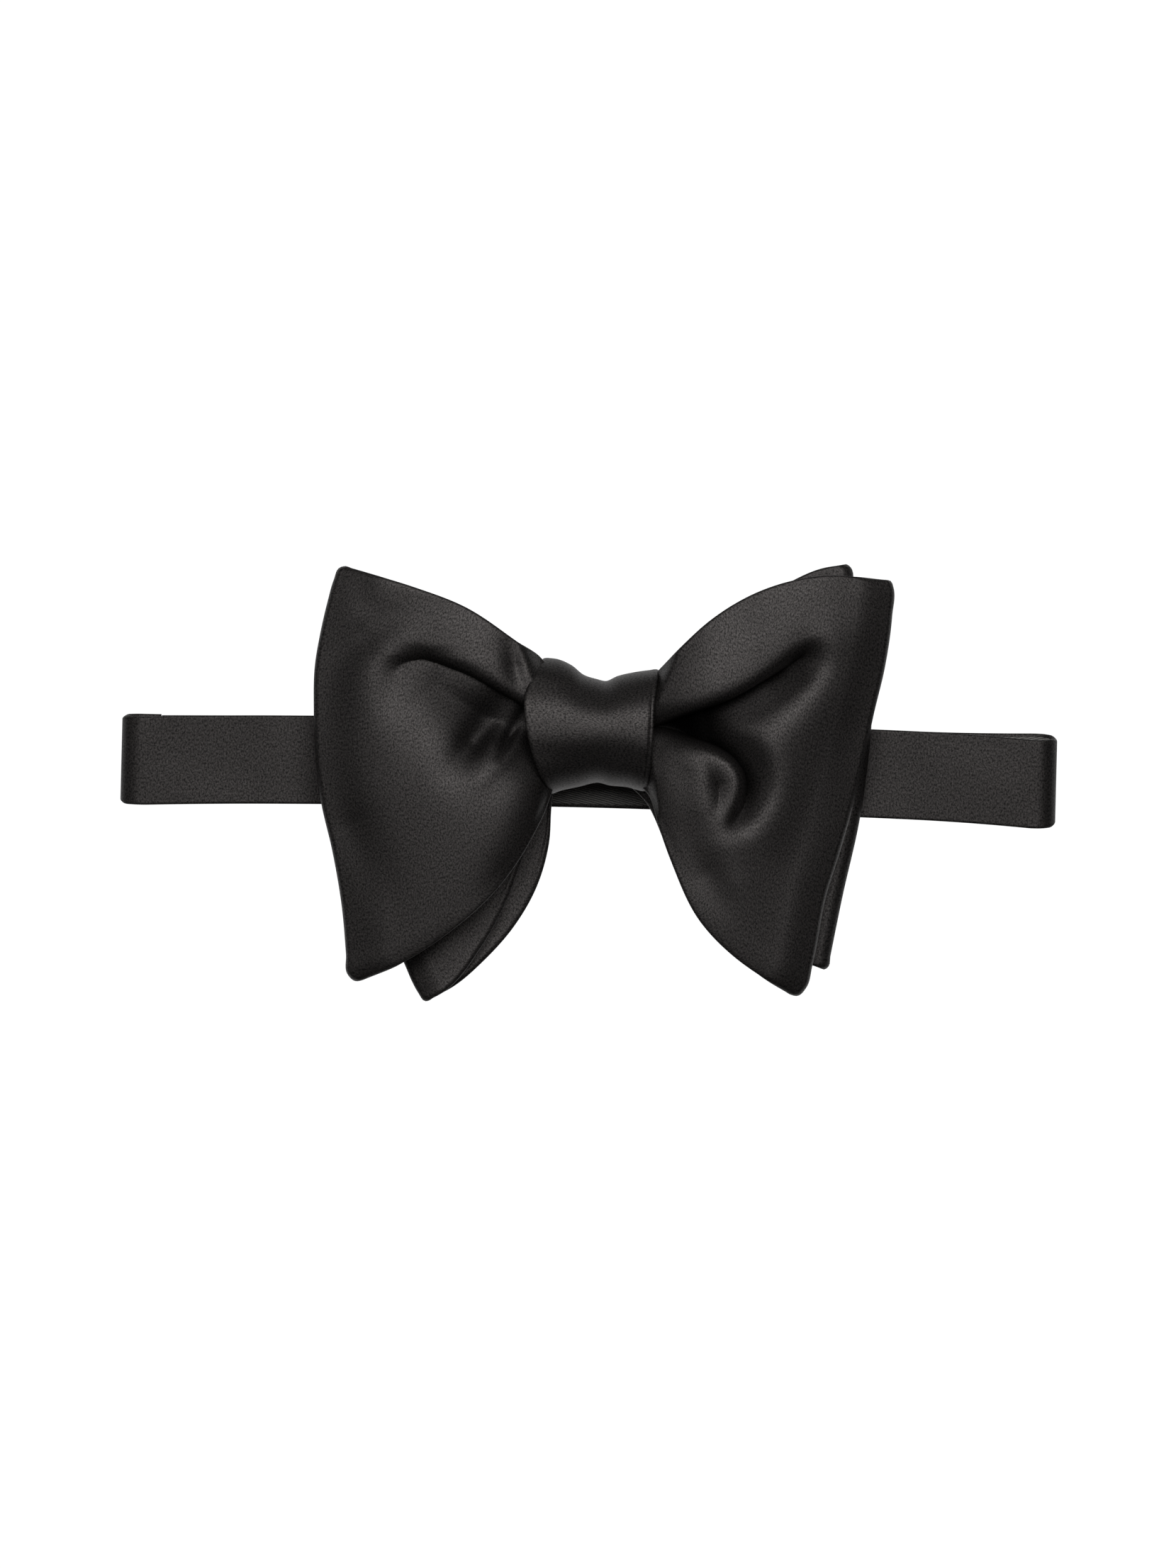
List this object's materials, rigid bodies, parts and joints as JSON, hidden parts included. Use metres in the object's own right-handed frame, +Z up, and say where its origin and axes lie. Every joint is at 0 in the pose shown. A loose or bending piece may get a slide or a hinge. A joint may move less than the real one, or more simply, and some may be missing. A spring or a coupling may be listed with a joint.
{
  "type": "bow tie",
  "caption": "Oversized black satin butterfly bow with double loops and a wrapped knot, on an adjustable neckband that closes behind with a flat hook and eye.",
  "frame": {"origin": "centre of the flat back of the knot, the face that bears on the shirt collar", "axes": "+X to the right of someone facing the bow, along the neckband; +Y from the bow towards the neck; +Z up. The bow faces -Y."},
  "size_m": [0.2114, 0.0323, 0.0999],
  "materials": {
    "black_satin": "silk satin, soft sheen",
    "twill_lining": "fine diagonal twill",
    "interlining": "brushed wool blend, matt",
    "black_thread": "polyester thread",
    "black_tape": "narrow woven tape",
    "clip_metal": "black lacquered steel"
  },
  "bodies": {
    "bow": {"back_binding_thread": "black_thread", "back_left_loop_face": "black_satin", "back_left_loop_interlining": "interlining", "back_left_loop_lining": "black_satin", "back_right_loop_face": "black_satin", "back_right_loop_interlining": "interlining", "back_right_loop_lining": "black_satin", "back_waist": "black_satin", "front_band_interlining": "interlining", "front_band_lining": "twill_lining", "front_band_satin": "black_satin", "front_binding_thread": "black_thread", "front_left_loop_face": "black_satin", "front_left_loop_interlining": "interlining", "front_left_loop_lining": "black_satin", "front_right_loop_face": "black_satin", "front_right_loop_interlining": "interlining", "front_right_loop_lining": "black_satin", "front_waist": "black_satin", "knot_interlining": "interlining", "knot_satin": "black_satin"},
    "left_strap": {"left_strap_lining": "twill_lining", "left_strap_interlining": "interlining", "left_strap_satin": "black_satin", "left_turn_lining": "twill_lining", "left_turn_interlining": "interlining", "left_turn_satin": "black_satin"},
    "right_strap": {"right_strap_lining": "twill_lining", "right_strap_interlining": "interlining", "right_strap_satin": "black_satin", "right_turn_lining": "twill_lining", "right_turn_interlining": "interlining", "right_turn_satin": "black_satin", "eye_tape": "black_tape", "eye_tape_tacks": "black_thread"},
    "adjuster": {"slide_frame": "clip_metal", "slide_bar": "clip_metal", "return_strap": "black_satin", "return_strap_tacks": "black_thread"},
    "strap_end": {"strap_hook_turn": "black_satin"},
    "hook": {"hook": "clip_metal"},
    "eye": {"eye": "clip_metal"}
  },
  "joints": [
    {"name": "band_left_turn", "type": "hinge", "parent": "bow", "child": "left_strap", "pos_m": [-0.10115, 0.00205, -0.0089], "axis": [0, 0, 1], "range_deg": [0, 178], "deforming": ["left_turn_lining", "left_turn_interlining", "left_turn_satin"]},
    {"name": "band_right_turn", "type": "hinge", "parent": "bow", "child": "right_strap", "pos_m": [0.10115, 0.00205, -0.0089], "axis": [0, 0, 1], "range_deg": [-178, 0], "deforming": ["right_turn_lining", "right_turn_interlining", "right_turn_satin"]},
    {"name": "adjuster_slide", "type": "slide", "parent": "left_strap", "child": "adjuster", "axis": [1, 0, 0], "range_m": [-0.06, 0.006], "deforming": ["return_strap"]},
    {"name": "hook_takeup", "type": "slide", "parent": "left_strap", "child": "strap_end", "axis": [1, 0, 0], "range_m": [-0.03, 0.003], "deforming": ["strap_hook_turn"]},
    {"name": "hook_tilt", "type": "hinge", "parent": "strap_end", "child": "hook", "pos_m": [0.024, 0.0077, -0.0089], "axis": [0, 0, 1], "range_deg": [0, 100]},
    {"name": "eye_tilt", "type": "hinge", "parent": "right_strap", "child": "eye", "pos_m": [0.04155, 0.006, -0.0089], "axis": [0, 0, 1], "range_deg": [0, 20]}
  ],
  "couplings": [
    {"joint": "band_right_turn", "follows": "band_left_turn", "ratio": -1},
    {"joint": "hook_takeup", "follows": "adjuster_slide", "ratio": 0.5}
  ]
}
